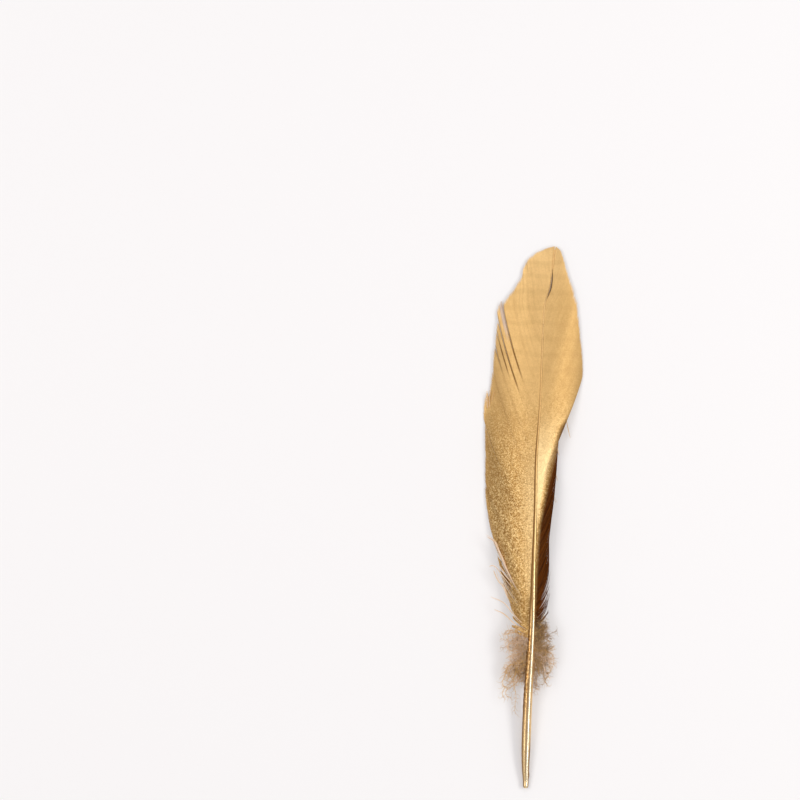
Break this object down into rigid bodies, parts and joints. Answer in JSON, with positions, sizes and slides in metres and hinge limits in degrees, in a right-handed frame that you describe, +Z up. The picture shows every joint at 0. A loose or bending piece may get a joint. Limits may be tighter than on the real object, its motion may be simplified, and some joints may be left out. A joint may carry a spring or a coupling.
{
  "type": "goose feather",
  "caption": "Gilded goose feather lying flat: bare quill, down at its foot, a wide and a narrow vane swept towards a rounded tip.",
  "frame": {"origin": "on the surface that the feather lies on, under the middle of the feather's box", "axes": "+Y from the quill end towards the tip, +Z up out of the upper side, +X towards the narrow vane"},
  "size_m": [0.0346, 0.1899, 0.0086],
  "materials": {
    "gilded_vane": "satin",
    "gilded_quill": "gloss",
    "bare_down": "matte"
  },
  "bodies": {
    "root": {"feather": "gilded_vane"}
  },
  "joints": []
}
